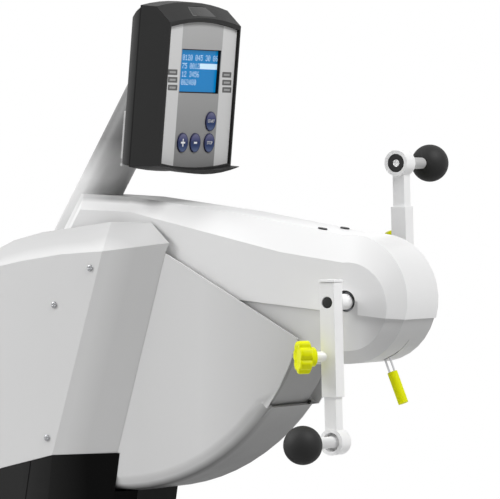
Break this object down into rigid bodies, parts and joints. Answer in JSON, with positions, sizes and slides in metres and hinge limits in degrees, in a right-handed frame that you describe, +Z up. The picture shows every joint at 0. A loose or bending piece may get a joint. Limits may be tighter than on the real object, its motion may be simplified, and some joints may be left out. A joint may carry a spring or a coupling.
{
  "type": "arm ergometer",
  "caption": "Upper-body ergometer: a tilting drive head with opposed hand cranks, a leaning console on a mast, a shrouded column and a floor frame.",
  "frame": {"origin": "on the floor, in the middle of the machine's length and width", "axes": "+X points from the column towards the person who turns the cranks, +Y to that person's right side, +Z up"},
  "size_m": [1, 0.528, 1.5251],
  "materials": {
    "white_paint": "satin white paint",
    "grey_shell": "light grey moulded shell",
    "dark_grey": "dark grey moulded panel",
    "black_plastic": "fine textured black",
    "anthracite": "fine textured anthracite",
    "rubber": "matt black rubber",
    "steel": "plain steel",
    "powder_coat": "dark powder coat",
    "cast": "machined cast iron",
    "yellow": "bright yellow-green",
    "yellow_green": "yellow-green soft plastic",
    "silver_panel": "silver foil over a keypad",
    "screen_blue": "blue backlit display",
    "violet_gloss": "violet-blue gloss",
    "smoked": "smoked glossy window"
  },
  "bodies": {
    "stand": {"base_beam": "powder_coat", "front_foot": "powder_coat", "rear_foot": "powder_coat", "foot_cap_front_left": "black_plastic", "foot_cap_front_right": "black_plastic", "foot_cap_rear_left": "black_plastic", "foot_cap_rear_right": "black_plastic", "column_post": "steel", "pivot_shaft": "steel", "lower_cover": "black_plastic", "drum_cover": "grey_shell", "left_column_cover": "grey_shell", "right_column_cover": "grey_shell", "left_cover_screw_top": "steel", "left_cover_screw_middle": "steel", "left_cover_screw_bottom": "steel", "right_cover_screw_top": "steel", "right_cover_screw_middle": "steel", "right_cover_screw_bottom": "steel", "drum_stop": "rubber"},
    "left_wheel": {"left_transport_wheel": "rubber"},
    "right_wheel": {"right_transport_wheel": "rubber"},
    "head": {"head_frame": "steel", "head_upper_shell": "white_paint", "head_lower_shell": "grey_shell", "head_apron": "dark_grey", "mast": "white_paint", "left_head_cap": "black_plastic", "right_head_cap": "black_plastic", "brake_magnet": "cast", "drive_belt": "rubber", "console_back": "anthracite", "console_front": "anthracite", "console_bracket": "white_paint", "face_panel": "silver_panel", "display": "screen_blue", "sensor_window": "smoked"},
    "flywheel": {"flywheel": "cast"},
    "crank": {"drive_pulley": "cast", "crank_axle": "steel", "left_crank_sleeve": "white_paint", "right_crank_sleeve": "white_paint", "left_sleeve_cap": "white_paint", "right_sleeve_cap": "white_paint"},
    "left_arm": {"left_crank_tube": "white_paint", "left_hub_cap": "black_plastic"},
    "right_arm": {"right_crank_tube": "white_paint", "right_hub_cap": "black_plastic"},
    "left_handle": {"left_handle_ball": "rubber"},
    "right_handle": {"right_handle_ball": "rubber"},
    "left_knob": {"left_knob": "yellow"},
    "right_knob": {"right_knob": "yellow"},
    "release_lever": {"lever_rods": "steel", "lever_grip": "yellow_green"},
    "gas_cylinder": {"gas_spring_cylinder": "black_plastic"},
    "gas_rod": {"gas_spring_rod": "steel"},
    "start_button": {"start_button": "violet_gloss"},
    "stop_button": {"stop_button": "violet_gloss"},
    "plus_button": {"plus_button": "violet_gloss"},
    "minus_button": {"minus_button": "violet_gloss"}
  },
  "joints": [
    {"name": "left_wheel_spin", "type": "hinge", "parent": "stand", "child": "left_wheel", "pos_m": [-0.47, -0.15, 0.031], "axis": [0, 1, 0], "continuous": true},
    {"name": "right_wheel_spin", "type": "hinge", "parent": "stand", "child": "right_wheel", "pos_m": [-0.47, 0.15, 0.031], "axis": [0, 1, 0], "continuous": true},
    {"name": "head_tilt", "type": "hinge", "parent": "stand", "child": "head", "pos_m": [-0.06961, 0, 1.09484], "axis": [0, -1, 0], "range_deg": [-10, 20]},
    {"name": "crank_spin", "type": "hinge", "parent": "head", "child": "crank", "pos_m": [0.35, 0, 1.05], "axis": [0, 1, 0], "continuous": true},
    {"name": "flywheel_spin", "type": "hinge", "parent": "head", "child": "flywheel", "pos_m": [-0.06961, 0, 1.09484], "axis": [0, 1, 0], "continuous": true},
    {"name": "left_arm_slide", "type": "slide", "parent": "crank", "child": "left_arm", "axis": [0.0262, 0, -0.9997], "range_m": [-0.04, 0.04]},
    {"name": "right_arm_slide", "type": "slide", "parent": "crank", "child": "right_arm", "axis": [-0.0262, 0, 0.9997], "range_m": [-0.04, 0.04]},
    {"name": "left_handle_spin", "type": "hinge", "parent": "left_arm", "child": "left_handle", "pos_m": [0.35563, -0.15, 0.83507], "axis": [0, 1, 0], "continuous": true},
    {"name": "right_handle_spin", "type": "hinge", "parent": "right_arm", "child": "right_handle", "pos_m": [0.34437, 0.15, 1.26493], "axis": [0, 1, 0], "continuous": true},
    {"name": "left_knob_turn", "type": "hinge", "parent": "crank", "child": "left_knob", "pos_m": [0.35217, -0.116, 0.96703], "axis": [-0.7069, -0.7071, -0.0185], "range_deg": [0, 360]},
    {"name": "right_knob_turn", "type": "hinge", "parent": "crank", "child": "right_knob", "pos_m": [0.34783, 0.116, 1.13297], "axis": [-0.7069, 0.7071, -0.0185], "range_deg": [0, 360]},
    {"name": "lever_pull", "type": "hinge", "parent": "head", "child": "release_lever", "pos_m": [0.378, 0, 0.976], "axis": [0, -1, 0], "range_deg": [0, 15], "stiffness_Nm_per_rad": 0.6},
    {"name": "gas_swing", "type": "hinge", "parent": "stand", "child": "gas_cylinder", "pos_m": [-0.10961, 0, 0.84484], "axis": [0, -1, 0], "range_deg": [-1, 2]},
    {"name": "gas_stroke", "type": "slide", "parent": "gas_cylinder", "child": "gas_rod", "axis": [0.78, 0, 0.6258], "range_m": [-0.031, 0.061]},
    {"name": "start_press", "type": "slide", "parent": "head", "child": "start_button", "axis": [-0.9962, 0, 0.0872], "range_m": [0, 0.0015], "stiffness_N_per_m": 800},
    {"name": "stop_press", "type": "slide", "parent": "head", "child": "stop_button", "axis": [-0.9962, 0, 0.0872], "range_m": [0, 0.0015], "stiffness_N_per_m": 800},
    {"name": "plus_press", "type": "slide", "parent": "head", "child": "plus_button", "axis": [-0.9962, 0, 0.0872], "range_m": [0, 0.0015], "stiffness_N_per_m": 800},
    {"name": "minus_press", "type": "slide", "parent": "head", "child": "minus_button", "axis": [-0.9962, 0, 0.0872], "range_m": [0, 0.0015], "stiffness_N_per_m": 800}
  ],
  "couplings": [
    {"joint": "flywheel_spin", "follows": "crank_spin", "ratio": 3.25},
    {"joint": "gas_swing", "follows": "head_tilt", "ratio": 0.08},
    {"joint": "gas_stroke", "follows": "head_tilt", "m_per_rad": 0.17}
  ]
}
